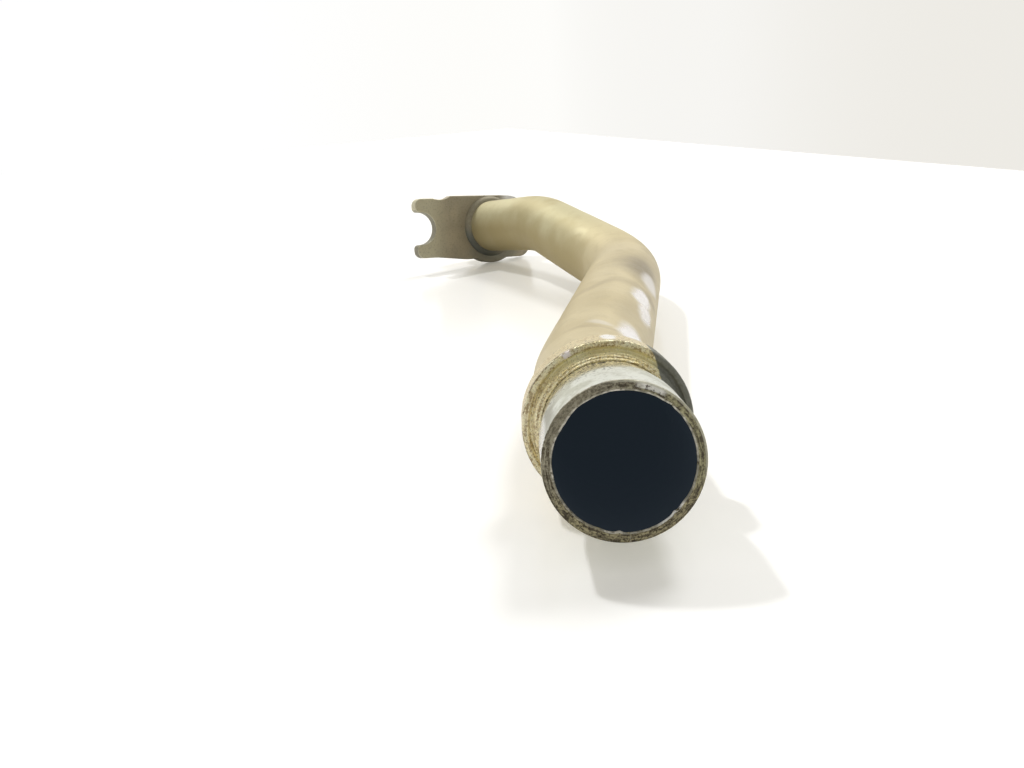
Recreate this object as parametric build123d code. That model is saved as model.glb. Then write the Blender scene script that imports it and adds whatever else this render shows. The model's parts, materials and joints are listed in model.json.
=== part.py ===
from build123d import *
from math import asin, atan2, cos, degrees, hypot, radians, sin, tan
import os

# Turbo oil line: a bent steel tube with a stop collar near its open end and a forked plate at the other.
# Millimetres, +Z up. The line lies on z = 0 as it comes to rest, with its length along Y and the mouth at -Y.

# Tube
tube_od = 16.0
tube_wall = 1.0
bend_radius = 48.0            # centreline radius of all three bends
mouth_edge_radius = 0.4       # worn outer edge of the open end
mouth_skew = 5.0              # how far out of square the open end is cut, its lower edge forward, in degrees

# Distances between the corners of the centreline
spigot_leg = 32.5             # mouth to first corner
flat_leg = 81.0               # first to second corner, lies on the table
rise_leg = 54.5               # second to third corner
end_leg = 31.0                # third corner to the near face of the plate

# Headings seen from above, in degrees from +Y towards +X
spigot_heading = 0.0
flat_heading = 12.4
rise_heading = -18.3
end_heading = -30.5
spigot_lift = 4.5             # rise of the spigot towards the mouth, from the second leg
end_drop = 5.2                # slope of the last leg, downwards

# Stop collar
spigot_length = 12.4          # mouth to the collar's front rim
collar_od = 19.2
collar_width = 4.0
collar_dish_depth = 1.1       # hollow turned into the front face
collar_dish_land = 0.35       # flat front land of the rim
collar_floor_width = 0.45     # flat floor of the hollow
collar_edge_radius = 0.35

# Rolled waist of the spigot, next to the collar
waist_depth = 0.45
waist_length = 5.2            # from full diameter to the narrowest place
waist_return = 1.2            # from the narrowest place back to full diameter

# Braze
front_braze_reach = 1.5       # how far the braze stands in front of the collar's hollow
front_braze_width = 0.3       # how far it stands out from the tube at the collar
front_braze_steps = 3
front_braze_tread = 0.33      # length of one step
back_braze_leg = 1.0
plate_braze_leg = 1.6
braze_hollow = 1.2            # radius of a fillet ring's hollow face, over its leg

# Forked plate
plate_thickness = 3.0
plate_top = 9.9               # tube axis to the upper edge
plate_bottom = 10.3           # tube axis to the lower edge, beside the bulge
plate_tail = 14.7             # tube axis to the plain end
upper_tail_radius = 8.0
lower_tail_radius = 4.0
bulge_radius = 11.7           # the lower edge bulges round the tube's axis
bulge_root_radius = 1.5
shoulder_reach = 14.6         # tube axis to the step down to the fork on the upper edge
shoulder_radius = 1.6
slope_start = 9.0             # tube axis to where the lower edge begins to rise to the fork
slope_end = 19.0
slope_radius = 4.0
fork_half_width = 9.2
fork_reach = 26.4             # tube axis to the tips of the prongs
fork_tip_radius = 2.2
slot_mouth_radius = 1.3
slot_width = 10.0
slot_run = 1.6                # tips of the prongs to the centre of the slot's round end
neck_scallop_radius = 7.0
neck_scallop_depth = 0.4
neck_scallop_centre = 17.8
plate_edge_radius = 0.35
fork_rise = 6.0               # how far the fork end is turned up about the tube, in degrees

# Stub: tube standing out beyond the far face of the plate
stub_length = 10.0
stub_edge_radius = 0.4
stub_neck_length = 1.2        # relief next to the plate
stub_neck_depth = 0.4

tube_radius = tube_od / 2
bore_radius = tube_radius - tube_wall
collar_radius = collar_od / 2
slot_centre = fork_reach - slot_run


def heading_vector(heading, slope):
    """Unit vector of a leg from its heading and its upward slope, in degrees."""
    level = cos(radians(slope))
    return Vector(level * sin(radians(heading)), level * cos(radians(heading)), sin(radians(slope)))


def flat_run():
    """Length of the second leg from the first corner to where the next bend begins."""
    return flat_leg - bend_radius * tan(radians(flat_heading - rise_heading) / 2)


def flat_drop():
    """Slope of the second leg, downwards, with the collar's back rim and that leg's far end on the table."""
    back = spigot_leg - (spigot_length + collar_width - collar_edge_radius)
    out = collar_radius - collar_edge_radius
    lift = radians(spigot_lift)
    length = flat_run() + back * cos(lift) + out * sin(lift)
    height = out * cos(lift) - back * sin(lift) - tube_radius
    return degrees(atan2(height, length) + asin(collar_edge_radius / hypot(length, height)))


def plate_frame(near_centre):
    """Plane on the plate's near face: x along the fork, y up, z along the tube, away from the mouth."""
    along = heading_vector(end_heading, -end_drop)
    level = Vector(0, 0, 1).cross(along).normalized()
    upright = along.cross(level).normalized()
    turn = radians(fork_rise)
    fork = level * cos(turn) + upright * sin(turn)
    return Plane(origin=near_centre, x_dir=fork, z_dir=along)


def plate_reach_down():
    """Height of the plate's near centre above its lowest point, on the far edge of the bulge."""
    frame = plate_frame(Vector(0, 0, 0))
    return bulge_radius * hypot(frame.x_dir.Z, frame.y_dir.Z) - plate_thickness * frame.z_dir.Z


def rise_slope(bend_height):
    """Slope of the third leg that sets the plate's lower corner on the table."""
    climb = plate_reach_down() - bend_height + end_leg * sin(radians(end_drop))
    return degrees(asin(climb / rise_leg))


def centreline_corners():
    """Mouth, the three corners, and the centre of the plate's near face."""
    drop = flat_drop()
    first_height = tube_radius * cos(radians(drop)) + flat_run() * sin(radians(drop))
    second_height = first_height - flat_leg * sin(radians(drop))
    legs = [
        (spigot_leg, heading_vector(spigot_heading, -drop - spigot_lift)),
        (flat_leg, heading_vector(flat_heading, -drop)),
        (rise_leg, heading_vector(rise_heading, rise_slope(second_height))),
        (end_leg, heading_vector(end_heading, -end_drop)),
    ]
    corners = [Vector(0, 0, first_height + spigot_leg * sin(radians(drop + spigot_lift)))]
    for length, direction in legs:
        corners.append(corners[-1] + direction * length)
    return corners


corners = centreline_corners()
mouth_frame = Plane(origin=corners[0], x_dir=(1, 0, 0), z_dir=(corners[1] - corners[0]).normalized())
plate_plane = plate_frame(corners[-1])


def s_curve(start, end):
    """Two equal tangent arcs that leave start and reach end along the axis."""
    middle = ((start[0] + end[0]) / 2, (start[1] + end[1]) / 2)
    first = TangentArc(start, middle, tangent=(0, 1))
    return [first, TangentArc(middle, end, tangent=first % 1)]


def waist_curve(radius):
    """Lengthwise outline of one wall surface through the rolled waist, up to the collar's front."""
    waist_place = spigot_length - waist_return
    waist_start = waist_place - waist_length
    narrow = (radius - waist_depth, waist_place)
    full_again = (radius, spigot_length)
    return (radius, waist_start), s_curve((radius, waist_start), narrow) + s_curve(narrow, full_again), full_again


def spigot():
    """Open end of the tube, from the mouth to the collar's front, turned and then cut a little out of square."""
    outer_start, outer_waist, outer_end = waist_curve(tube_radius)
    inner_start, inner_waist, inner_end = waist_curve(bore_radius)
    spare = -tube_od * tan(radians(mouth_skew))
    outline = [
        Line((bore_radius, spare), (tube_radius, spare)),
        Line((tube_radius, spare), outer_start),
        *outer_waist,
        Line(outer_end, inner_end),
        *inner_waist,
        Line(inner_start, (bore_radius, spare)),
    ]
    blank = revolve(Plane.XZ * make_face(outline), Axis.Z)
    skew = radians(mouth_skew)
    cut = Plane(origin=(0, 0, 0), x_dir=(1, 0, 0), z_dir=(0, sin(skew), cos(skew)))
    blank = split(blank, bisect_by=cut, keep=Keep.TOP)
    mouth_face = blank.faces().sort_by(Axis.Z)[0]
    blank = fillet(mouth_face.outer_wire().edges(), mouth_edge_radius)
    return mouth_frame * blank


def stub():
    """Tube beyond the far face of the plate, with a relief next to the plate and a rounded outer edge."""
    root = plate_thickness
    end = plate_thickness + stub_length
    neck_end = root + stub_neck_length
    neck_radius = tube_radius - stub_neck_depth
    edge_start = (tube_radius, end - stub_edge_radius)
    edge_end = (tube_radius - stub_edge_radius, end)
    outline = [
        Line((bore_radius, root), (neck_radius, root)),
        Line((neck_radius, root), (neck_radius, neck_end)),
        Line((neck_radius, neck_end), (tube_radius, neck_end)),
        Line((tube_radius, neck_end), edge_start),
        TangentArc(edge_start, edge_end, tangent=(0, 1)),
        Line(edge_end, (bore_radius, end)),
        Line((bore_radius, end), (bore_radius, root)),
    ]
    section = Plane.XZ * make_face(outline)
    return plate_plane * revolve(section, Axis.Z)


def bent_tube():
    """The whole tube: spigot, three bends and the stub beyond the plate."""
    sweep_start = corners[0] + mouth_frame.z_dir * spigot_length
    sweep_end = corners[-1] + plate_plane.z_dir * plate_thickness
    path = FilletPolyline(sweep_start, *corners[1:-1], sweep_end, radius=bend_radius)
    start_plane = Plane(origin=sweep_start, x_dir=(1, 0, 0), z_dir=mouth_frame.z_dir)
    section = start_plane * (Circle(tube_radius) - Circle(bore_radius))
    return spigot() + sweep(section, path) + stub()


def stop_collar():
    """Turned ring with a dished front face and rounded rim."""
    front = spigot_length
    floor = spigot_length + collar_dish_depth
    back = spigot_length + collar_width
    floor_start = tube_radius + front_braze_width
    floor_end = floor_start + collar_floor_width
    rim_start = collar_radius - collar_edge_radius - collar_dish_land
    rim_end = collar_radius - collar_edge_radius
    outline = [
        Line((tube_radius, floor), (floor_end, floor)),
        TangentArc((floor_end, floor), (rim_start, front), tangent=(1, 0)),
        Line((rim_start, front), (rim_end, front)),
        TangentArc((rim_end, front), (collar_radius, front + collar_edge_radius), tangent=(1, 0)),
        Line((collar_radius, front + collar_edge_radius), (collar_radius, back - collar_edge_radius)),
        TangentArc((collar_radius, back - collar_edge_radius), (rim_end, back), tangent=(0, 1)),
        Line((rim_end, back), (tube_radius, back)),
        Line((tube_radius, back), (tube_radius, floor)),
    ]
    section = Plane.XZ * make_face(outline)
    return mouth_frame * revolve(section, Axis.Z)


def front_braze():
    """Stepped ring of braze that fills the waist and the hollow in front of the collar."""
    floor = spigot_length + collar_dish_depth
    narrow_radius = tube_radius - waist_depth
    top_radius = tube_radius + front_braze_width
    riser = (top_radius - narrow_radius) / front_braze_steps
    edge = [(top_radius, floor)]
    for step in range(front_braze_steps):
        front = floor - front_braze_reach - step * front_braze_tread
        edge.append((top_radius - step * riser, front))
        edge.append((top_radius - (step + 1) * riser, front))
    section = Plane.XZ * make_face(Polyline(*edge, (narrow_radius, floor), close=True))
    return mouth_frame * revolve(section, Axis.Z)


def fillet_ring(frame, leg, side):
    """Hollow-faced ring of braze in the corner between the tube and a face, on one side of the frame."""
    reach = side * leg
    corner = (tube_radius, 0)
    outline = [
        Line(corner, (tube_radius + leg, 0)),
        RadiusArc((tube_radius + leg, 0), (tube_radius, reach), -side * leg * braze_hollow),
        Line((tube_radius, reach), corner),
    ]
    section = Plane.XZ * make_face(outline)
    return frame * revolve(section, Axis.Z)


def bulge_roots():
    """Where the bulge meets the plate's lower edge, fork side first."""
    reach = (bulge_radius ** 2 - plate_bottom ** 2) ** 0.5
    return (reach, -plate_bottom), (-reach, -plate_bottom)


def plate_outline():
    """Flat outline of the forked plate, without the hole for the tube."""
    slot_radius = slot_width / 2
    lower = [
        (fork_reach, -slot_radius, slot_mouth_radius),
        (fork_reach, -fork_half_width, fork_tip_radius),
        (slope_end, -fork_half_width, slope_radius),
        (slope_start, -plate_bottom, slope_radius),
    ]
    upper = [
        (-plate_tail, -plate_bottom, lower_tail_radius),
        (-plate_tail, plate_top, upper_tail_radius),
        (shoulder_reach, plate_top, shoulder_radius),
        (shoulder_reach + shoulder_radius, fork_half_width, shoulder_radius),
        (fork_reach, fork_half_width, fork_tip_radius),
        (fork_reach, slot_radius, slot_mouth_radius),
    ]
    slot_start = (slot_centre, -slot_radius)
    slot_end = (slot_centre, slot_radius)
    fork_root, tail_root = bulge_roots()
    below = FilletPolyline(slot_start, *[corner[:2] for corner in lower], fork_root,
                           radius=[corner[2] for corner in lower])
    bulge = ThreePointArc(fork_root, (0, -bulge_radius), tail_root)
    above = FilletPolyline(tail_root, *[corner[:2] for corner in upper], slot_end,
                           radius=[corner[2] for corner in upper])
    slot = ThreePointArc(slot_end, (slot_centre - slot_radius, 0), slot_start)
    outline = make_face([*below.edges(), bulge, *above.edges(), slot])
    scallop_height = fork_half_width + neck_scallop_radius - neck_scallop_depth
    return outline - Pos(neck_scallop_centre, scallop_height) * Circle(neck_scallop_radius)


def forked_plate():
    """Plate with its prongs, the hole that the tube passes through and rounded near edges."""
    blank = extrude(plate_outline(), plate_thickness)
    upright = blank.edges().filter_by(Axis.Z)
    roots = [upright.sort_by_distance(Vector(x, y, plate_thickness / 2))[0] for x, y in bulge_roots()]
    blank = fillet(roots, bulge_root_radius)
    near_edges = blank.edges().group_by(Axis.Z)[0]
    blank = fillet(near_edges, plate_edge_radius)
    hole = Pos(0, 0, plate_thickness / 2) * Cylinder(tube_radius, 2 * plate_thickness)
    return plate_plane * (blank - hole)


tube = bent_tube()
collar_back = Plane(origin=corners[0] + mouth_frame.z_dir * (spigot_length + collar_width),
                    x_dir=(1, 0, 0), z_dir=mouth_frame.z_dir)
nodes = {
    "tube": tube,
    "stop_collar": stop_collar(),
    "forked_plate": forked_plate(),
    "collar_front_braze": front_braze() - tube,
    "collar_back_braze": fillet_ring(collar_back, back_braze_leg, 1),
    "plate_braze": fillet_ring(plate_plane, plate_braze_leg, -1),
}

# The origin is under the middle of the whole line, on the table
whole = Compound(list(nodes.values())).bounding_box()
to_origin = Pos(-whole.center().X, -whole.center().Y, 0)

os.makedirs("parts", exist_ok=True)
for name, node in nodes.items():
    export_step(to_origin * node, f"parts/{name}.step")
    print(name, "volume", round(node.volume, 2))
print("box", whole.size, "lowest", round(whole.min.Z, 4))
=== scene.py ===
import json
from math import cos, exp, pi, radians, sin, tan

import bmesh
import bpy
from mathutils import Matrix, Vector, noise


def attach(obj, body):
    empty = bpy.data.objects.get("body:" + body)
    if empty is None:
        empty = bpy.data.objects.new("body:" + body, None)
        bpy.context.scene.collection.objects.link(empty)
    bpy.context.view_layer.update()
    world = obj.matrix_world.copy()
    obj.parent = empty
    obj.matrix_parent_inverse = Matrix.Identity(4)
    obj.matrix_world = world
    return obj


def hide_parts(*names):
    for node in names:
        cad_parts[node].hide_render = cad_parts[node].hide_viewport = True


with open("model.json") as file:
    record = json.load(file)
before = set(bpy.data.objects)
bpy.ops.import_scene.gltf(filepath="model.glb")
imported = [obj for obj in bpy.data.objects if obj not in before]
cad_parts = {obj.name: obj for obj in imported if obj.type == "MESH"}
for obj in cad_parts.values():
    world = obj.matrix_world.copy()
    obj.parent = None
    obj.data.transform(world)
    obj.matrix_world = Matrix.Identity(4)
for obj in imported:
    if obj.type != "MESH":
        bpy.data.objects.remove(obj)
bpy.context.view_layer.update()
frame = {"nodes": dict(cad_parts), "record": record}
mounts = {mount["name"]: mount for mount in frame["record"]["mounts"]}

mm = 0.001

# Sizes of the line that the dressed tube and collar repeat
tube_radius = 8.0 * mm
bore_radius = 7.0 * mm
bend_radius = 48.0 * mm
spigot_leg = 32.5 * mm
flat_leg = 81.0 * mm
end_leg = 31.0 * mm
flat_heading = 12.4           # degrees from +Y towards +X
flat_drop = 0.19
spigot_length = 12.4 * mm     # mouth to the collar's front rim
waist_depth = 0.45 * mm
waist_length = 5.2 * mm
waist_return = 1.2 * mm
mouth_skew = 5.0              # the mouth is cut out of square, its lower edge forward
plate_thickness = 3.0 * mm
stub_length = 10.0 * mm
stub_edge = 0.4 * mm
stub_neck_length = 1.2 * mm
stub_neck_depth = 0.4 * mm

collar_radius = 9.6 * mm
collar_width = 4.0 * mm
collar_edge = 0.35 * mm
collar_land = 0.35 * mm
braze_width = 0.3 * mm        # front braze, out from the tube
braze_front = 12.0 * mm       # mouth to the highest step of the front braze
braze_tread = 0.33 * mm
braze_steps = 3
back_braze_leg = 1.0 * mm
hollow_depth = 0.30 * mm      # hollow in the collar's face, shallower than the solid's

# Mouth edge of the dressed tube
nose_radius = 0.2 * mm        # its worn outer edge, sharper than the solid's
inner_edge = 0.1 * mm
skew_reach = 6.0 * mm         # how far from the mouth the rows follow its skew
round_steps = 320             # points round the tube
fine_step = 0.3 * mm          # between the rows of the tube's outside, near the mouth
coarse_step = 2.3 * mm        # likewise, behind the collar
fine_bore_step = 0.6 * mm     # between the rows of the bore, near the mouth
coarse_bore_step = 4.0 * mm
lip_depth = 2.4 * mm          # how deep in the bore the mouth's own rows reach

# Camera, from the mouth's centre
camera_from_mouth = Vector((-8.88, -67.125, 31.21)) * mm
camera_heading = -0.951
camera_pitch = -18.387
camera_roll = 5.33
camera_lens = 27.07


def leg_direction(heading, slope):
    """Unit vector from a heading and an upward slope, in degrees."""
    level = cos(radians(slope))
    return Vector((level * sin(radians(heading)), level * cos(radians(heading)), sin(radians(slope))))


def collar_frame():
    """Centre of the collar's front rim plane and the direction along the tube from the mouth."""
    mount = mounts["collar_front"]
    along = -Vector(mount["axis"]).normalized()
    spigot = Vector(mounts["spigot"]["pos_m"])
    return spigot + along * (Vector(mount["pos_m"]) - spigot).dot(along), along


def plate_frame():
    """Centre of the plate's near face and the direction along the tube through it."""
    face = mounts["plate_face"]
    along = Vector(face["axis"]).normalized()
    stub = Vector(mounts["stub"]["pos_m"])
    far_centre = stub + along * (Vector(face["pos_m"]) - stub).dot(along)
    return far_centre - along * plate_thickness, along


collar_centre, first_leg = collar_frame()
mouth_centre = collar_centre - first_leg * spigot_length
plate_centre, last_leg = plate_frame()
fork_side = Vector(mounts["fork_slot"]["pos_m"]) - plate_centre
fork_side = (fork_side - last_leg * fork_side.dot(last_leg)).normalized()
plate_up = last_leg.cross(fork_side).normalized()


def centreline_corners():
    bend_1 = mouth_centre + first_leg * spigot_leg
    bend_2 = bend_1 + leg_direction(flat_heading, -flat_drop) * flat_leg
    bend_3 = plate_centre - last_leg * end_leg
    return [mouth_centre, bend_1, bend_2, bend_3, plate_centre + last_leg * (plate_thickness + stub_length)]


class Centreline:
    """Straight legs joined by arcs, read by distance from the mouth."""

    def __init__(self, corners, radius):
        self.runs = []
        here = corners[0]
        for before, corner, after in zip(corners, corners[1:], corners[2:]):
            into = (corner - before).normalized()
            out = (after - corner).normalized()
            turn = into.angle(out)
            reach = radius * tan(turn / 2)
            start = corner - into * reach
            self.add_straight(here, start)
            axis = into.cross(out).normalized()
            centre = start + axis.cross(into) * radius
            self.runs.append((radius * turn, start, into, axis, centre))
            here = corner + out * reach
        self.add_straight(here, corners[-1])
        self.length = sum(run[0] for run in self.runs)
        self.radius = radius

    def add_straight(self, start, end):
        run = end - start
        self.runs.append((run.length, start, run.normalized(), None, None))

    def at(self, distance):
        """Point and direction at a distance from the mouth."""
        for run in self.runs:
            if distance <= run[0] or run is self.runs[-1]:
                break
            distance -= run[0]
        _, start, into, axis, centre = run
        if axis is None:
            return start + into * distance, into
        turned = Matrix.Rotation(distance / self.radius, 3, axis)
        return centre + turned @ (start - centre), turned @ into


centreline = Centreline(centreline_corners(), bend_radius)


def ring_axes(along):
    """Directions across the tube: to the right, seen from the mouth, and up."""
    right = along.cross(Vector((0, 0, 1))).normalized()
    return right, right.cross(along).normalized()


def ease(share):
    share = min(max(share, 0.0), 1.0)
    return share * share * (3 - 2 * share)


def waist(distance):
    """How far the wall is rolled in at a distance from the mouth."""
    narrow = spigot_length - waist_return
    if distance < narrow:
        return waist_depth * ease((distance - narrow + waist_length) / waist_length)
    return waist_depth * (1 - ease((distance - narrow) / waist_return))


def mesh_object(name, verts, faces, materials):
    """Smooth-shaded mesh; faces holds (corner numbers, material number) pairs."""
    mesh = bpy.data.meshes.new(name)
    mesh.from_pydata(verts, [], [corners for corners, _ in faces])
    for material in materials:
        mesh.materials.append(material)
    for polygon, (_, number) in zip(mesh.polygons, faces):
        polygon.use_smooth = True
        polygon.material_index = number
    shell = bmesh.new()
    shell.from_mesh(mesh)
    bmesh.ops.recalc_face_normals(shell, faces=shell.faces)
    shell.to_mesh(mesh)
    shell.free()
    mesh.update()
    piece = bpy.data.objects.new(name, mesh)
    bpy.context.scene.collection.objects.link(piece)
    return piece


def add_place(piece, places):
    """Each point's place: millimetres round the tube from its top, along it, and out from its axis."""
    layer = piece.data.attributes.new("place", "FLOAT_VECTOR", "POINT")
    for item, place in zip(layer.data, places):
        item.vector = [value / mm for value in place]


def ring_faces(rows, count, material_of, closed):
    """Faces between rows of count points; material_of gives the material number of a row."""
    faces = []
    last = len(rows) if closed else len(rows) - 1
    for row in range(last):
        after = (row + 1) % len(rows)
        for step in range(count):
            beside = (step + 1) % count
            corners = (row * count + step, after * count + step, after * count + beside, row * count + beside)
            faces.append((corners, material_of(row)))
    return faces


def rough(angle, detail, seed):
    """Smooth noise round the tube, between about -1 and 1, with detail waves round it."""
    spread = detail / (2 * pi)
    return noise.noise(Vector((cos(angle) * spread, sin(angle) * spread, seed)))


# Tube

# Burrs inside the mouth: angle from the top in degrees, clockwise from the camera, half width, height
mouth_burrs = [(188, 3.0, 0.20 * mm), (204, 5.0, 0.10 * mm), (140, 2.0, 0.16 * mm), (128, 6.0, 0.10 * mm),
               (43, 2.0, -0.08 * mm), (307, 10.0, 0.14 * mm), (262, 9.0, 0.06 * mm)]


def lip_rise(angle):
    """How far the mouth's inner edge stands in from the bore, all round."""
    rise = 0.06 * mm + 0.03 * mm * rough(angle, 14, 3.1) + 0.03 * mm * rough(angle, 60, 7.7)
    degrees_round = angle * 180 / pi
    for centre, half, height in mouth_burrs:
        off = (degrees_round - centre + 180) % 360 - 180
        rise += height * exp(-(off / half) ** 2)
    return rise


def face_wear(angle, out):
    """How far the mouth's face is worn back at an angle and a distance from the axis."""
    spread = out / mm
    coarse = noise.noise(Vector((sin(angle) * spread, cos(angle) * spread, 1.3)) * 0.9)
    fine = noise.noise(Vector((sin(angle) * spread, cos(angle) * spread, 5.9)) * 3.4)
    return 0.05 * mm * (1 + coarse) + 0.045 * mm * (0.6 + fine)


def tube_profile():
    """Rows round the tube's skin: distance, radius, share of lip rise and share of face wear."""
    profile = [(lip_depth, bore_radius, 0.0, 0.0), (1.2 * mm, bore_radius, 0.1, 0.0),
               (0.5 * mm, bore_radius, 0.55, 0.0), (inner_edge * 1.6, bore_radius, 0.9, 0.3),
               (inner_edge * 0.5, bore_radius + inner_edge * 0.4, 1.0, 0.6)]
    face_rows = 7
    face_start = bore_radius + inner_edge * 1.3
    face_end = tube_radius - nose_radius
    for row in range(face_rows + 1):
        share = row / face_rows
        profile.append((0.0, face_start + (face_end - face_start) * share, 0.7 * (1 - share), 1.0))
    steps = 5
    for step in range(1, steps + 1):
        turn = pi / 2 * step / steps
        place = nose_radius * (1 - cos(turn))
        profile.append((place, face_end + nose_radius * sin(turn), 0.0, 1 - step / steps))
    end = centreline.length - stub_length
    distance = nose_radius
    while distance < end - 1.5 * mm:
        distance += fine_step if distance < spigot_length + 2.5 * mm else coarse_step
        profile.append((min(distance, end), tube_radius - waist(distance), 0.0, 0.0))
    neck = tube_radius - stub_neck_depth
    profile += [(end, neck, 0.0, 0.0), (end + stub_neck_length, neck, 0.0, 0.0),
                (end + stub_neck_length, tube_radius, 0.0, 0.0)]
    for step in range(6):
        turn = pi / 2 * step / 5
        place = centreline.length - stub_edge * (1 - sin(turn))
        profile.append((place, tube_radius - stub_edge * (1 - cos(turn)), 0.0, 0.0))
    distance = centreline.length
    while distance > 3.0 * mm:
        profile.append((distance, bore_radius - waist(distance), 0.0, 0.0))
        distance -= fine_bore_step if 2.5 * mm < distance < spigot_length + 1 * mm else coarse_bore_step
    return profile


def skin_dent(angle, distance):
    """Slight unevenness of the tube's outside, as rolled and handled steel has."""
    place = Vector((sin(angle) * 2.2, cos(angle) * 2.2, distance / mm * 0.16))
    return 0.035 * mm * noise.noise(place) + 0.012 * mm * noise.noise(place * 3.7)


def turned_rows(profile, count, edit):
    """Points and places of a profile carried round the centreline; edit gives each row's own changes."""
    verts, places = [], []
    for row in profile:
        for step in range(count):
            angle = 2 * pi * step / count
            place, out = edit(row, angle)
            centre, along = centreline.at(max(place, 0.0))
            if place < 0:
                centre = centre + along * place
            right, up = ring_axes(along)
            verts.append(centre + (right * sin(angle) + up * cos(angle)) * out)
            off_top = (angle + pi) % (2 * pi) - pi
            places.append((off_top * tube_radius, row[0], row[1]))
    return verts, places


def mouth_edit(row, angle):
    """Distance and radius of one point of the tube's skin."""
    distance, radius, lip, wear = row
    skew = radius * cos(angle) * tan(radians(mouth_skew)) * (1 - ease(distance / skew_reach))
    out = radius - lip * lip_rise(angle)
    if radius > bore_radius + inner_edge:
        before_plate = centreline.length - stub_length - plate_thickness - distance
        worn = ease(distance / mm) * ease(before_plate / (4 * mm) - 1)
        out -= worn * (0.05 * mm - skin_dent(angle, distance))
    return distance + skew + wear * face_wear(angle, out), out


def dressed_tube(metal, bore_material):
    """The whole tube with its worn, slightly uneven mouth."""
    profile = tube_profile()
    verts, places = turned_rows(profile, round_steps, mouth_edit)
    inside_from = len(profile) - sum(1 for row in profile if row[1] <= bore_radius and row[0] > 2.5 * mm)
    faces = ring_faces(profile, round_steps, lambda row: 1 if row < 3 or row >= inside_from else 0, True)
    piece = mesh_object("tube_dressed", verts, faces, [metal, bore_material])
    add_place(piece, places)
    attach(piece, "root")
    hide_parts("tube")


# Collar and its braze

ring_steps = 400              # points round a ring
hidden_radius = 7.6 * mm      # inner side of the braze rings, inside the tube's wall


def fine_rows(corners, spacing):
    """Rows of (distance, radius) along a closed outline, no more than spacing apart."""
    rows = []
    for here, there in zip(corners, corners[1:] + corners[:1]):
        length = ((there[0] - here[0]) ** 2 + (there[1] - here[1]) ** 2) ** 0.5
        count = max(1, round(length / spacing))
        for step in range(count):
            share = step / count
            rows.append((here[0] + (there[0] - here[0]) * share, here[1] + (there[1] - here[1]) * share))
    return rows


def arc_rows(centre, radius, start, end, count):
    """Points of an arc in (distance, radius), from one angle to another in degrees; 0 is outwards."""
    points = []
    for step in range(count + 1):
        turn = radians(start + (end - start) * step / count)
        points.append((centre[0] + radius * sin(turn), centre[1] + radius * cos(turn)))
    return points


def collar_rows():
    """Outline of the collar: hollow face, land, round edges and seat."""
    front, back = spigot_length, spigot_length + collar_width
    lip = collar_radius - collar_edge - collar_land
    hollow_from = tube_radius + braze_width
    floor = front + hollow_depth
    hollow = []
    for step in range(15):
        share = step / 14
        depth = hollow_depth * sin(pi * share) ** 0.8
        hollow.append((front + depth, hollow_from + (lip - hollow_from) * share))
    edge = arc_rows((front + collar_edge, collar_radius - collar_edge), collar_edge, -90, 0, 6)
    far_edge = arc_rows((back - collar_edge, collar_radius - collar_edge), collar_edge, 0, 90, 6)
    corners = hollow + edge + far_edge + [(back, tube_radius), (floor, tube_radius)]
    return fine_rows(corners, 0.14 * mm)


def front_braze_rows():
    """Outline of the stepped braze in front of the collar."""
    floor = spigot_length + hollow_depth
    narrow = tube_radius - waist_depth
    riser = (braze_width + waist_depth) / braze_steps
    corners = []
    for step in range(braze_steps, 0, -1):
        front = braze_front - (step - 1) * braze_tread
        corners.append((front - 0.04 * mm, tube_radius + braze_width - step * riser))
        corners.append((front + 0.05 * mm, tube_radius + braze_width - (step - 1) * riser))
    corners += [(floor, tube_radius + braze_width), (floor, tube_radius - 0.05 * mm),
                (spigot_length, narrow)]
    return fine_rows(corners, 0.12 * mm)


def back_braze_rows():
    """Outline of the hollow-faced braze behind the collar."""
    back = spigot_length + collar_width
    hollow = [(back, tube_radius + back_braze_leg)]
    for step in range(1, 8):
        turn = pi / 2 * step / 8
        out = tube_radius + back_braze_leg * (1 - sin(turn))
        hollow.append((back + back_braze_leg * (1 - cos(turn)), out))
    corners = hollow + [(back + back_braze_leg, tube_radius), (back + back_braze_leg, hidden_radius),
                        (back, hidden_radius)]
    return fine_rows(corners, 0.16 * mm)


def grain_edit(depth, grooves, seat):
    """Grainy, pitted skin for a turned ring, with grooves in its face; its seat is left plain."""
    def edit(row, angle):
        distance, radius = row
        if radius < seat + 0.02 * mm:
            return distance, radius
        spot = Vector((sin(angle) * radius, cos(angle) * radius, distance)) / mm
        grain = noise.noise(spot * 2.6) + 0.6 * noise.noise(spot * 6.1)
        pit = max(0.0, noise.noise(spot * 1.7 + Vector((9, 4, 2))) - 0.42) * 3
        groove = grooves * sin(radius / mm * 52 + 1.4 * noise.noise(spot * 0.5))
        sink = depth * (0.55 - 0.45 * grain) + 0.05 * mm * pit
        facing = 1 - ease((distance - spigot_length - 0.5 * mm) / mm)
        return distance + (sink + groove) * facing, radius - sink * (1 - 0.6 * facing)
    return edit


def dressed_ring(name, rows, edit, material, node):
    """A grainy ring on the tube that stands for one CAD node."""
    verts, places = turned_rows(rows, ring_steps, edit)
    faces = ring_faces(rows, ring_steps, lambda row: 0, True)
    piece = mesh_object(name, verts, faces, [material])
    add_place(piece, places)
    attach(piece, "root")
    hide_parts(node)


# Node helpers

def node_material(name):
    material = bpy.data.materials.new(name)
    material.use_nodes = True
    tree = material.node_tree
    tree.nodes.clear()
    output = tree.nodes.new("ShaderNodeOutputMaterial")
    shader = tree.nodes.new("ShaderNodeBsdfPrincipled")
    tree.links.new(shader.outputs["BSDF"], output.inputs["Surface"])
    return material, tree, shader


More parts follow.
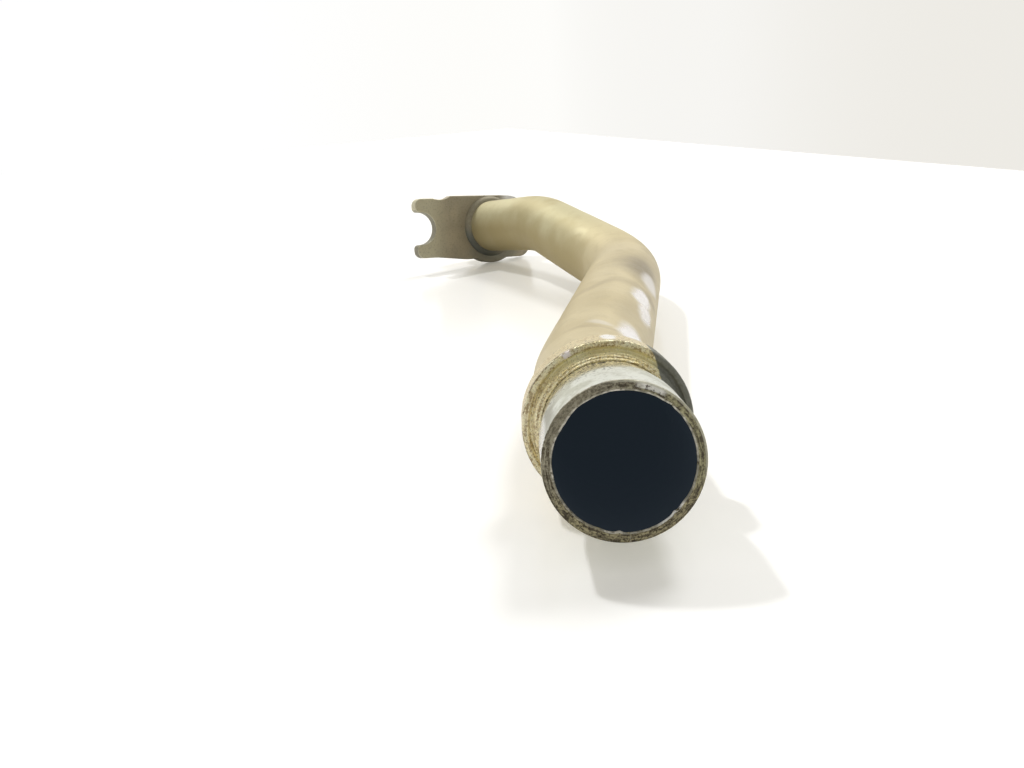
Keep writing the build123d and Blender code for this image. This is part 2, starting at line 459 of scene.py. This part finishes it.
class Nodes:
    """Short names for the node links that the materials share."""

    def __init__(self, tree):
        self.tree = tree

    def link(self, value, socket):
        if isinstance(value, bpy.types.NodeSocket):
            self.tree.links.new(value, socket)
        elif socket.type == "RGBA":
            socket.default_value = (*value, 1)
        else:
            socket.default_value = value

    def times(self, first, second):
        return self.math("MULTIPLY", first, second)

    def plus(self, first, second):
        return self.math("ADD", first, second)

    def minus(self, first, second):
        return self.math("SUBTRACT", first, second)

    def absolute(self, value):
        return self.math("ABSOLUTE", value)

    def object_place(self):
        """Place on the object, in millimetres."""
        coordinates = self.tree.nodes.new("ShaderNodeTexCoord")
        return self.scaled(coordinates.outputs["Object"], (1000, 1000, 1000))

    def tube_place(self):
        node = self.tree.nodes.new("ShaderNodeAttribute")
        node.attribute_name = "place"
        return node.outputs["Vector"]

    def scaled(self, vector, scale):
        node = self.tree.nodes.new("ShaderNodeVectorMath")
        node.operation = "MULTIPLY"
        self.link(vector, node.inputs[0])
        node.inputs[1].default_value = scale
        return node.outputs["Vector"]

    def part(self, vector, axis):
        node = self.tree.nodes.new("ShaderNodeSeparateXYZ")
        self.link(vector, node.inputs[0])
        return node.outputs[axis]

    def math(self, operation, first, second=0.0, clamp=False):
        node = self.tree.nodes.new("ShaderNodeMath")
        node.operation = operation
        node.use_clamp = clamp
        self.link(first, node.inputs[0])
        self.link(second, node.inputs[1])
        return node.outputs["Value"]

    def noise(self, vector, scale, detail=3.0, roughness=0.55):
        node = self.tree.nodes.new("ShaderNodeTexNoise")
        self.link(vector, node.inputs["Vector"])
        node.inputs["Scale"].default_value = scale
        node.inputs["Detail"].default_value = detail
        node.inputs["Roughness"].default_value = roughness
        return node.outputs["Fac"]

    def span(self, value, low, high):
        """0 below low, 1 above high, smooth between; low may be above high."""
        node = self.tree.nodes.new("ShaderNodeMapRange")
        node.interpolation_type = "SMOOTHSTEP"
        self.link(value, node.inputs["Value"])
        node.inputs["From Min"].default_value = low
        node.inputs["From Max"].default_value = high
        return node.outputs["Result"]

    def mix(self, share, first, second):
        node = self.tree.nodes.new("ShaderNodeMix")
        node.data_type = "RGBA"
        self.link(share, node.inputs["Factor"])
        self.link(first, node.inputs[6])
        self.link(second, node.inputs[7])
        return node.outputs[2]

    def blend(self, share, first, second):
        node = self.tree.nodes.new("ShaderNodeMix")
        self.link(share, node.inputs["Factor"])
        self.link(first, node.inputs[2])
        self.link(second, node.inputs[3])
        return node.outputs[0]

    def vector(self, operation, first, second):
        node = self.tree.nodes.new("ShaderNodeVectorMath")
        node.operation = operation
        self.link(first, node.inputs[0])
        self.link(second, node.inputs[1])
        return node.outputs["Value" if operation in ("LENGTH", "DOT_PRODUCT", "DISTANCE") else "Vector"]

    def warped(self, vector, scale, reach):
        """A vector moved about by smooth noise, up to half of reach each way."""
        node = self.tree.nodes.new("ShaderNodeTexNoise")
        self.link(self.object_place(), node.inputs["Vector"])
        node.inputs["Scale"].default_value = scale
        node.inputs["Detail"].default_value = 2.0
        off = self.vector("SUBTRACT", node.outputs["Color"], (0.5, 0.5, 0.5))
        return self.vector("ADD", vector, self.scaled(off, reach))

    def patch(self, vector, centre, half, soft=0.35):
        """1 inside an ellipse on the unrolled tube, 0 outside, with a soft edge."""
        off = self.scaled(self.vector("SUBTRACT", vector, (*centre, 0)), (1 / half[0], 1 / half[1], 0))
        return self.span(self.vector("LENGTH", off, (0, 0, 0)), 1 + soft, 1 - soft)

    def bump(self, height, distance, strength=1.0, normal=None):
        node = self.tree.nodes.new("ShaderNodeBump")
        node.inputs["Strength"].default_value = strength
        node.inputs["Distance"].default_value = distance
        self.link(height, node.inputs["Height"])
        if normal is not None:
            self.link(normal, node.inputs["Normal"])
        return node.outputs["Normal"]


# Materials

# Places on the tube are in millimetres: round it from its top (+ right) and along it from the mouth

# Rubbed, smoother patches of the coat, painted near-white as the reflection they show: centre, half sizes,
# strength
reflection_patches = [((8.2, 76.5), (2.2, 5.4), 0.6), ((6.9, 60.0), (1.9, 4.4), 0.95),
                  ((8.2, 53.5), (1.6, 5.0), 0.85), ((6.3, 34.0), (2.1, 5.4), 1.0),
                  ((1.6, 34.4), (1.8, 1.5), 0.3)]
# Painted yellow highlights on the far leg, likewise
painted_yellow_highlights = [((-4.9, 128.0), (1.0, 2.6), 0.45), ((-4.6, 157.0), (2.8, 8.0), 0.2),
                  ((-3.0, 175.0), (3.5, 9.0), 0.25)]
# Brown stains, likewise
brown_patches = [((5.2, 82.5), (3.9, 8.5), 1.0), ((9.4, 65.5), (2.2, 2.4), 0.5),
                 ((4.2, 46.0), (1.6, 5.0), 0.2), ((-6.5, 100.0), (3.5, 9.0), 0.25)]
dark_line_along = 58.5       # a darker line round the tube, at its left
dark_line_step = 6.5         # how much further along it lies at the right
dark_arc_along = 31.5        # a shorter one just behind the collar
far_from, far_to = 95, 130    # where the near leg's finish gives way to the far leg's

reflection_white = (0.97, 0.93, 0.90)
highlight_yellow = (0.86, 0.80, 0.54)
brown_stain = (0.36, 0.295, 0.18)
dark_line_colour = (0.45, 0.36, 0.20)


class Skin:
    """Where a point of the tube's skin is, as sockets for the materials to read."""

    def __init__(self, n):
        self.place = n.tube_place()
        self.around, self.along, self.out = (n.part(self.place, axis) for axis in "XYZ")
        self.spread = n.object_place()


def coat_colour(n, skin, mottled, grain):
    """Tan satin near leg and olive far leg, mottled and grained, the far leg's sides and underside darkened
    as painted shade.
    """
    broad = n.span(n.noise(skin.spread, 0.07, 2.0), 0.40, 0.60)
    near_coat = n.mix(broad, (0.70, 0.60, 0.37), (0.63, 0.53, 0.31))
    far_coat = n.mix(broad, (0.62, 0.565, 0.345), (0.53, 0.46, 0.25))
    coat = n.mix(n.span(skin.along, 100, 150), near_coat, far_coat)
    coat = n.mix(n.times(n.span(mottled, 0.50, 0.68), 0.22), coat, (0.50, 0.42, 0.23))
    coat = n.mix(n.times(n.span(grain, 0.52, 0.72), 0.15), coat, (0.45, 0.37, 0.20))
    # painted shade: the far leg darkens towards its sides and underside
    shaded_underside = n.times(n.span(n.absolute(skin.around), 8.0, 13.0), n.span(skin.along, far_from, far_to))
    return n.mix(n.times(shaded_underside, 0.75), coat, (0.46, 0.37, 0.18))


def marked_coat(n, skin, coat):
    """The coat with its stains, darker lines, painted yellow highlights and rubbed patches painted with a
    white reflection, and the share of those patches.
    """
    ground = n.warped(skin.place, 0.25, (2.4, 3.6, 0))
    for centre, half, strength in brown_patches:
        coat = n.mix(n.times(n.patch(ground, centre, half, 0.7), strength), coat, brown_stain)
    ring = n.plus(n.times(n.span(skin.around, -3.0, 2.0), dark_line_step), dark_line_along)
    off_ring = n.absolute(n.minus(n.part(ground, "Y"), ring))
    line_ends = n.times(n.span(skin.around, -8.0, -4.0), n.span(skin.around, 10.5, 8.0))
    line = n.times(n.span(off_ring, 3.6, 0.3), line_ends)
    off_arc = n.absolute(n.minus(n.part(ground, "Y"), dark_arc_along))
    arc_ends = n.times(n.span(skin.around, -4.0, -1.0), n.span(skin.around, 5.5, 4.0))
    arc = n.times(n.span(off_arc, 1.0, 0.2), arc_ends)
    coat = n.mix(n.times(n.plus(line, arc), 0.4), coat, dark_line_colour)
    bright = 0.0
    for centre, half, strength in reflection_patches:
        bright = n.math("MAXIMUM", bright, n.times(n.patch(ground, centre, half, 0.45), strength))
    # painted reflection: the rubbed patches are coloured near-white
    coat = n.mix(bright, coat, reflection_white)
    for centre, half, strength in painted_yellow_highlights:
        # painted highlight: pale yellow gleams on the far leg
        coat = n.mix(n.times(n.patch(ground, centre, half, 0.8), strength), coat, highlight_yellow)
    return coat, bright


def spigot_colour(n, skin, grain):
    """Bare pale end in front of the collar, with the shares of its pits and of its white strip, a painted
    highlight down its left side.
    """
    clouds = n.span(n.noise(skin.spread, 0.42, 3.0), 0.44, 0.64)
    pale = n.mix(clouds, (0.78, 0.79, 0.71), (0.60, 0.60, 0.50))
    pale = n.mix(n.times(n.span(grain, 0.5, 0.68), 0.4), pale, (0.40, 0.39, 0.31))
    greyed = n.patch(n.warped(skin.place, 0.6, (2.0, 2.0, 0)), (-8.6, 3.4), (1.5, 3.4), 0.6)
    pale = n.mix(n.times(greyed, 0.75), pale, (0.36, 0.35, 0.28))
    gilt = n.plus(skin.along, n.times(n.noise(skin.spread, 0.8, 3.0), 3.0))
    gilt = n.span(n.minus(gilt, n.times(n.span(skin.around, 0.0, 6.0), 1.6)), 7.4, 10.4)
    speckle = n.span(n.noise(skin.spread, 3.2, 4.0, 0.7), 0.46, 0.55)
    pale = n.mix(n.times(gilt, 0.85), pale, n.mix(speckle, (0.86, 0.77, 0.45), (0.27, 0.20, 0.09)))
    pits = n.times(n.span(n.noise(skin.spread, 2.6, 2.0), 0.56, 0.60), n.span(skin.along, 4.5, 8.5))
    pits = n.times(pits, n.times(n.span(skin.around, -13, -9), n.span(skin.around, 4.0, 0.0)))
    pale = n.mix(pits, pale, (0.05, 0.045, 0.03))
    # painted highlight: a near-white strip down the spigot's left side
    highlight_strip = n.patch(n.warped(skin.place, 0.8, (0.6, 0.6, 0)), (-12.4, 5.0), (3.2, 7.2), 0.2)
    return n.mix(highlight_strip, pale, (1.0, 1.0, 0.99)), pits, highlight_strip


def mouth_face_colour(n, skin, blotch, fleck):
    """Cut face of the mouth: blotched grey-brown with dark flecks and a torn bright stretch."""
    fine = n.noise(n.scaled(skin.place, (0.7, 0, 5.0)), 1.0, 4.0, 0.65)
    off_top = n.absolute(skin.around)
    low_side = n.span(off_top, 13.5, 18.0)
    light = n.mix(n.span(skin.around, -2.0, 7.0), (0.42, 0.385, 0.28), (0.50, 0.465, 0.27))
    light = n.mix(low_side, light, (0.52, 0.46, 0.27))
    upper_left = n.span(n.absolute(n.plus(skin.around, 5.5)), 4.0, 2.0)
    dark = n.mix(upper_left, (0.105, 0.088, 0.058), (0.25, 0.225, 0.155))
    streaked, blotched = n.blend(0.7, blotch, fine), n.blend(0.35, blotch, fine)
    worn = n.blend(n.span(off_top, 4.0, 12.0), blotched, streaked)
    colour = n.mix(n.span(worn, 0.42, 0.58), dark, light)
    colour = n.mix(n.times(fleck, n.blend(low_side, 0.35, 0.75)), colour, (0.05, 0.04, 0.02))
    torn = n.patch(n.warped(skin.place, 1.0, (1.2, 0, 0)), (3.3, 0.0), (1.4, 3.0))
    torn = n.times(torn, n.span(skin.out, 7.30, 7.45))
    return n.mix(n.times(torn, n.span(blotch, 0.38, 0.48)), colour, (0.90, 0.88, 0.80))


def lined_mouth(n, skin, colour, face):
    """The bright lines along the inner and the outer edge of the mouth's face; the outer line and a glint on
    the inner one are painted highlights.
    """
    rim_line = n.times(n.span(skin.out, 7.22, 7.10), n.span(n.noise(skin.spread, 1.6, 3.0), 0.30, 0.45))
    rim_cloud = n.span(n.noise(skin.spread, 0.9, 3.0), 0.42, 0.6)
    rim_colour = n.mix(rim_cloud, (0.36, 0.34, 0.26), (0.82, 0.78, 0.66))
    # painted highlight: a glint on the inner edge at the lower right
    painted_rim_glint = n.times(n.span(skin.around, 17.5, 18.5), n.span(skin.around, 22.5, 21.0))
    rim_colour = n.mix(painted_rim_glint, rim_colour, (1.0, 0.98, 0.92))
    colour = n.mix(rim_line, colour, rim_colour)
    # painted highlight: a pale line along the outer edge, on its right half
    line_ends = n.times(n.span(skin.around, -3.0, 2.0), n.span(skin.around, 16.0, 12.0))
    outer_line = n.times(n.span(skin.out, 7.70, 7.84), line_ends)
    return n.mix(n.times(outer_line, n.times(face, 0.7)), colour, (0.72, 0.70, 0.55))


def tube_material():
    """Steel tube: worn mouth, pale bare spigot with a painted highlight strip, tan satin run with rubbed
    patches painted with a white reflection, olive far end with painted yellow highlights and painted shade
    below.
    """
    material, tree, shader = node_material("tube_metal")
    n = Nodes(tree)
    skin = Skin(n)
    mottled = n.noise(skin.spread, 0.30, 4.0)
    grain = n.noise(skin.spread, 2.6, 4.0, 0.6)
    coat, bright = marked_coat(n, skin, coat_colour(n, skin, mottled, grain))
    pale, pits, highlight_strip = spigot_colour(n, skin, grain)
    bare = n.span(skin.along, 15.5, 12.5)
    colour = n.mix(bare, coat, pale)

    blotch = n.noise(skin.spread, 2.2, 5.0, 0.75)
    fleck = n.span(n.noise(skin.spread, 5.0, 3.0), 0.55, 0.61)
    face = n.span(n.plus(skin.along, n.times(n.minus(blotch, 0.5), 1.2)), 0.34, 0.18)
    colour = n.mix(face, colour, mouth_face_colour(n, skin, blotch, fleck))
    colour = lined_mouth(n, skin, colour, face)

    n.link(colour, shader.inputs["Base Color"])
    metallic = n.math("ADD", n.blend(bare, 0.5, 0.6), n.times(highlight_strip, 0.4), True)
    n.link(metallic, shader.inputs["Metallic"])
    roughness = n.blend(n.math("MAXIMUM", bright, highlight_strip), n.blend(grain, 0.34, 0.50), 0.2)
    roughness = n.plus(roughness, n.times(face, 0.12))
    roughness = n.plus(roughness, n.times(n.span(skin.along, far_from, far_to), 0.2))
    n.link(roughness, shader.inputs["Roughness"])
    relief = n.bump(mottled, 0.30 * mm, 0.45)
    relief = n.bump(grain, 0.07 * mm, 0.5, relief)
    relief = n.bump(n.times(n.plus(blotch, fleck), face), 0.12 * mm, 0.8, relief)
    relief = n.bump(pits, 0.10 * mm, -0.8, relief)
    n.link(relief, shader.inputs["Normal"])
    return material


def glowing_bore_material():
    """Near-black blue inside of the bore, with a faint glow of its own: painted light that evens out its
    shade.
    """
    material, tree, shader = node_material("bore_dark_glow")
    n = Nodes(tree)
    colour = n.mix(n.noise(n.object_place(), 0.8, 4.0), (0.012, 0.016, 0.021), (0.020, 0.026, 0.034))
    n.link(colour, shader.inputs["Base Color"])
    shader.inputs["Roughness"].default_value = 0.7
    shader.inputs["Specular IOR Level"].default_value = 0.25
    # painted light: the bore glows faintly of itself so its dark looks even
    shader.inputs["Emission Color"].default_value = (0.0098, 0.0140, 0.0190, 1)
    shader.inputs["Emission Strength"].default_value = 1.0
    return material


def turned_colour(n, skin, turned, drawn, grain, tones, streaks):
    """Streaked gold of a ring's face, sparkling with painted glints, with a painted highlight on its lip and
    a paler hollow as painted light; turned is the angle round it in degrees.
    """
    gold, pale_gold, brown = tones
    spread = skin.spread
    colour = n.mix(n.span(n.noise(spread, 0.35, 3.0), 0.38, 0.60), gold, pale_gold)
    left = n.span(turned, -25, -75)
    colour = n.mix(n.times(left, 0.5), colour, (0.97, 0.82, 0.52))
    valley = n.span(n.absolute(n.minus(skin.out, 8.5)), 0.42, 0.28)
    valley = n.times(valley, n.minus(1.0, left))
    # painted light: the hollow near 8.5 mm is made paler, with fewer dark marks, to offset its shade
    worked = n.minus(1.0, n.times(valley, 0.75))
    colour = n.mix(n.times(valley, 0.5), colour, (0.90, 0.85, 0.50))
    colour = n.mix(n.times(n.times(n.span(drawn, 0.48, 0.60), streaks), worked), colour, brown)
    grained = n.times(n.span(grain, 0.47, 0.55), n.blend(left, 0.75, 0.95))
    colour = n.mix(n.times(grained, worked), colour, n.mix(left, brown, (0.45, 0.345, 0.18)))
    # painted glints: pale specks over the grain
    sparks = n.span(n.noise(spread, 3.3, 3.0), 0.52, 0.59)
    colour = n.mix(n.times(n.times(sparks, 0.7), worked), colour, (1.0, 0.95, 0.68))
    pitted = n.span(n.noise(spread, 0.5, 2.0), 0.46, 0.56)
    pits = n.times(n.span(n.noise(spread, 4.0, 1.0), 0.66, 0.70), pitted)
    colour = n.mix(n.times(pits, worked), colour, (0.14, 0.09, 0.03))
    # painted highlight: a pinkish-white spot on the lip at the upper left
    painted_lip_highlight = n.patch(n.warped(skin.place, 1.2, (0.6, 0, 0)), (-3.6, 12.4), (0.42, 1.2))
    return n.mix(n.times(painted_lip_highlight, n.span(skin.out, 8.9, 9.0)), colour, (1.0, 0.94, 0.92))


def walled_colour(n, skin, colour, grain):
    """The ring's side wall, coloured as the tube behind it, with a painted glint, and the darker, broken edge
    in front of the wall.
    """
    side = n.span(skin.along, 12.75, 12.95)
    wall = n.mix(n.span(grain, 0.50, 0.60), (0.78, 0.66, 0.40), (0.50, 0.38, 0.19))
    colour = n.mix(n.times(side, 0.92), colour, wall)
    # painted highlight: a glint on the side wall at the top
    glint = n.patch(n.warped(skin.place, 0.8, (0.8, 0.8, 0)), (0.7, 14.6), (0.62, 1.5))
    colour = n.mix(n.times(glint, n.span(skin.out, 9.2, 9.3)), colour, (0.98, 0.95, 0.90))
    edge = n.times(n.span(skin.out, 9.42, 9.52), n.span(skin.along, 13.0, 12.7))
    edge_share = n.blend(n.span(grain, 0.42, 0.58), 0.15, 0.95)
    return n.mix(n.times(edge, edge_share), colour, (0.20, 0.155, 0.075))


def ring_material(name, tones, streaks):
    """Grainy golden metal of the collar or its braze, with a dark slate-grey stretch on the right: bare
    steel, its darkness partly a painted dark reflection.
    """
    material, tree, shader = node_material(name)
    n = Nodes(tree)
    skin = Skin(n)
    turned = n.times(skin.around, 180 / (pi * tube_radius / mm))
    drawn = n.noise(n.scaled(skin.place, (0.55, 3.2, 3.2)), 1.0, 4.0, 0.65)
    grain = n.noise(skin.spread, 2.6, 5.0, 0.72)
    grain = n.blend(n.blend(n.span(turned, -20, -70), 0.3, 0.5), grain, drawn)
    colour = turned_colour(n, skin, turned, drawn, grain, tones, streaks)
    colour = walled_colour(n, skin, colour, grain)
    # slate-grey stretch on the right: bare steel, its darkness partly a painted dark reflection
    slant = n.minus(turned, n.times(n.minus(9.6, skin.out), 9.0))
    slant = n.plus(slant, n.times(n.noise(skin.spread, 1.2, 3.0), 5.0))
    slate = n.times(n.span(slant, 34.6, 36.2), n.span(turned, 160, 135))
    slate_colour = n.mix(n.span(grain, 0.40, 0.66), (0.24, 0.245, 0.205), (0.17, 0.165, 0.13))
    colour = n.mix(slate, colour, slate_colour)
    n.link(colour, shader.inputs["Base Color"])
    n.link(n.blend(slate, 0.45, 0.2), shader.inputs["Metallic"])
    gold_roughness = n.blend(n.span(grain, 0.35, 0.65), 0.24, 0.44)
    n.link(n.blend(slate, gold_roughness, 0.62), shader.inputs["Roughness"])
    n.link(n.bump(grain, 0.14 * mm, 0.8), shader.inputs["Normal"])
    return material


def plate_material():
    """Dull brown-grey plate, paler at the fork, darkest round the tube with painted shade that is partly a
    heat tint, deepest towards its lower side.
    """
    material, tree, shader = node_material("plate_metal")
    n = Nodes(tree)
    spread = n.object_place()
    off = n.vector("SUBTRACT", spread, plate_centre / mm)
    to_fork = n.vector("DOT_PRODUCT", off, fork_side)
    height = n.vector("DOT_PRODUCT", off, plate_up)
    broad = n.noise(spread, 0.16, 3.0)
    grain = n.noise(spread, 1.8, 5.0, 0.62)
    colour = n.mix(n.span(broad, 0.38, 0.62), (0.54, 0.475, 0.335), (0.46, 0.405, 0.29))
    colour = n.mix(n.span(to_fork, 14, 22), colour, (0.66, 0.615, 0.435))
    round_tube = n.math("SQRT", n.plus(n.times(to_fork, to_fork), n.times(height, height)))
    # painted shade round the tube, partly a heat tint
    dark = n.span(n.plus(round_tube, n.times(broad, 3.0)), 16.0, 11.0)
    colour = n.mix(n.times(dark, 0.4), colour, (0.31, 0.275, 0.20))
    # painted shade: the tube's shadow, darker still towards the lower side
    low = n.span(n.plus(to_fork, n.times(height, 1.4)), 1.0, -9.0)
    colour = n.mix(n.times(n.times(dark, low), 0.65), colour, (0.27, 0.28, 0.23))
    colour = n.mix(n.times(n.span(grain, 0.5, 0.7), 0.35), colour, (0.21, 0.185, 0.125))
    geometry = tree.nodes.new("ShaderNodeNewGeometry")
    outwards = n.vector("DOT_PRODUCT", geometry.outputs["True Normal"], last_leg)
    pale_end = n.times(n.span(to_fork, -3.0, -7.0), n.span(height, 6.5, 8.0))
    colour = n.mix(n.times(pale_end, n.span(outwards, 0.5, 0.2)), colour, (0.90, 0.89, 0.84))
    edge = n.times(n.span(n.absolute(outwards), 0.7, 0.3), n.span(height, 6.0, 5.0))
    colour = n.mix(n.times(edge, 0.75), colour, (0.17, 0.155, 0.11))
    n.link(colour, shader.inputs["Base Color"])
    shader.inputs["Metallic"].default_value = 0.5
    n.link(n.blend(grain, 0.42, 0.62), shader.inputs["Roughness"])
    n.link(n.bump(grain, 0.12 * mm, 0.6), shader.inputs["Normal"])
    return material


def dark_braze_material():
    """Braze between the tube and the plate, coloured dark as painted shade."""
    material, tree, shader = node_material("plate_braze_metal")
    n = Nodes(tree)
    spread = n.object_place()
    grain = n.noise(spread, 1.4, 4.0)
    colour = n.mix(n.span(grain, 0.35, 0.65), (0.36, 0.325, 0.225), (0.31, 0.275, 0.19))
    off = n.vector("SUBTRACT", spread, plate_centre / mm)
    height = n.vector("DOT_PRODUCT", off, plate_up)
    to_fork = n.vector("DOT_PRODUCT", off, fork_side)
    # painted shade: darker still towards the lower side
    low = n.span(n.minus(n.times(height, 1.4), to_fork), -6.0, -14.0)
    colour = n.mix(low, colour, (0.17, 0.175, 0.145))
    n.link(colour, shader.inputs["Base Color"])
    shader.inputs["Metallic"].default_value = 0.4
    shader.inputs["Roughness"].default_value = 0.6
    n.link(n.bump(grain, 0.10 * mm, 0.5), shader.inputs["Normal"])
    return material


def dress(node, material):
    piece = frame["nodes"][node]
    piece.data.materials.clear()
    piece.data.materials.append(material)


dressed_tube(tube_material(), glowing_bore_material())
# Gold, pale gold and brown of a ring
collar_tones = ((1.0, 0.90, 0.52), (1.0, 0.97, 0.68), (0.36, 0.25, 0.095))
braze_tones = ((1.0, 0.86, 0.44), (1.0, 0.92, 0.56), (0.34, 0.24, 0.09))
collar_metal = ring_material("collar_metal", collar_tones, 0.35)
braze_metal = ring_material("braze_metal", braze_tones, 0.6)
collar_grain = grain_edit(0.05 * mm, 0.012 * mm, tube_radius)
front_braze_grain = grain_edit(0.03 * mm, 0.0, tube_radius - waist_depth)
back_braze_grain = grain_edit(0.03 * mm, 0.0, tube_radius)
dressed_ring("collar_dressed", collar_rows(), collar_grain, collar_metal, "stop_collar")
dressed_ring("front_braze_dressed", front_braze_rows(), front_braze_grain, braze_metal, "collar_front_braze")
dressed_ring("back_braze_dressed", back_braze_rows(), back_braze_grain, braze_metal, "collar_back_braze")
dress("forked_plate", plate_material())
dress("plate_braze", dark_braze_material())


# Stage

# Suns: direction towards them (right, back, up), share of a level white surface's brightness,
# width in degrees
suns = [((-0.44, 0.55, 1.0), 0.30, 3.5), ((0.46, 0.55, 1.0), 0.29, 16.0)]
sky_strength = 0.56
floor_glow = 0.23             # light of the floor's own, for the camera alone
floor_reach = 30.0            # of the floor and the wall, far past what the camera sees
wall_offset = 0.25            # the wall stands this far to the right, along Y


def add_sun(direction, share, width):
    towards = Vector(direction)
    data = bpy.data.lights.new("sun", "SUN")
    data.energy = share * pi * towards.length / towards.z
    data.angle = radians(width)
    sun = bpy.data.objects.new("sun", data)
    bpy.context.scene.collection.objects.link(sun)
    sun.matrix_world = towards.to_track_quat("Z", "Y").to_matrix().to_4x4()


def white_floor():
    """White, slightly glossy table, a little brighter to the camera than the light alone makes it."""
    material = bpy.data.materials.new("floor")
    material.use_nodes = True
    tree = material.node_tree
    n = Nodes(tree)
    shader = tree.nodes["Principled BSDF"]
    shader.inputs["Base Color"].default_value = (0.90, 0.90, 0.90, 1)
    shader.inputs["Roughness"].default_value = 0.2
    glow = tree.nodes.new("ShaderNodeEmission")
    glow.inputs["Color"].default_value = (1.0, 0.96, 0.82, 1)
    path = tree.nodes.new("ShaderNodeLightPath")
    n.link(n.times(path.outputs["Is Camera Ray"], floor_glow), glow.inputs["Strength"])
    both = tree.nodes.new("ShaderNodeAddShader")
    tree.links.new(shader.outputs["BSDF"], both.inputs[0])
    tree.links.new(glow.outputs["Emission"], both.inputs[1])
    tree.links.new(both.outputs["Shader"], tree.nodes["Material Output"].inputs["Surface"])
    reach = floor_reach
    verts = [(-reach, -reach, 0), (reach, -reach, 0), (reach, reach, 0), (-reach, reach, 0)]
    mesh_object("floor", verts, [((0, 1, 2, 3), 0)], [material])


def side_wall():
    """Off-white wall along the right, which only the camera sees."""
    material = bpy.data.materials.new("wall")
    material.use_nodes = True
    tree = material.node_tree
    n = Nodes(tree)
    tree.nodes.remove(tree.nodes["Principled BSDF"])
    glow = tree.nodes.new("ShaderNodeEmission")
    coordinates = tree.nodes.new("ShaderNodeTexCoord")
    away = n.part(coordinates.outputs["Object"], "Y")
    shaded = n.mix(n.span(away, 0.2, 0.8), (0.85, 0.83, 0.78), (0.925, 0.915, 0.885))
    n.link(n.mix(n.span(away, 0.4, 4.0), shaded, (0.99, 0.985, 0.96)), glow.inputs["Color"])
    tree.links.new(glow.outputs["Emission"], tree.nodes["Material Output"].inputs["Surface"])
    near, far, top = 0, floor_reach, floor_reach
    verts = [(wall_offset, near, 0), (wall_offset, far, 0), (wall_offset, far, top), (wall_offset, near, top)]
    wall = mesh_object("wall", verts, [((0, 1, 2, 3), 0)], [material])
    wall.visible_diffuse = wall.visible_glossy = False
    wall.visible_transmission = wall.visible_shadow = False


def studio_world():
    """White room, bright low down at the back and left, a little darker behind the camera."""
    world = bpy.data.worlds.new("studio")
    bpy.context.scene.world = world
    world.use_nodes = True
    n = Nodes(world.node_tree)
    background = world.node_tree.nodes["Background"]
    coordinates = world.node_tree.nodes.new("ShaderNodeTexCoord")
    direction = coordinates.outputs["Generated"]
    side, back, height = (n.part(direction, axis) for axis in "XYZ")
    room = n.mix(n.span(back, -0.9, 0.5), (0.65, 0.64, 0.62), (0.95, 0.94, 0.92))
    low = n.times(n.span(height, 0.45, 0.1), n.span(n.minus(back, n.times(side, 0.8)), -0.3, 0.3))
    room = n.mix(low, room, (1.75, 1.74, 1.70))
    path = world.node_tree.nodes.new("ShaderNodeLightPath")
    seen = n.mix(n.span(side, -0.35, -0.02), (1.8, 1.8, 1.8), (1.768, 1.759, 1.714))
    n.link(n.mix(path.outputs["Is Camera Ray"], room, seen), background.inputs["Color"])
    background.inputs["Strength"].default_value = sky_strength


def add_camera():
    """The photo's camera, from the mouth's centre."""
    forward = leg_direction(camera_heading, camera_pitch)
    level = forward.cross(Vector((0, 0, 1))).normalized()
    right = Matrix.Rotation(radians(camera_roll), 3, forward) @ level
    up = right.cross(forward)
    turned = Matrix((right, up, -forward)).transposed().to_4x4()
    data = bpy.data.cameras.new("camera")
    data.lens = camera_lens
    data.sensor_width = 36
    data.clip_start = 0.005
    data.clip_end = 100.0
    camera = bpy.data.objects.new("camera", data)
    bpy.context.scene.collection.objects.link(camera)
    camera.matrix_world = Matrix.Translation(mouth_centre + camera_from_mouth) @ turned
    bpy.context.scene.camera = camera


white_floor()
for direction, share, width in suns:
    add_sun(direction, share, width)
side_wall()
studio_world()
add_camera()
bpy.context.scene.view_settings.view_transform = "Standard"
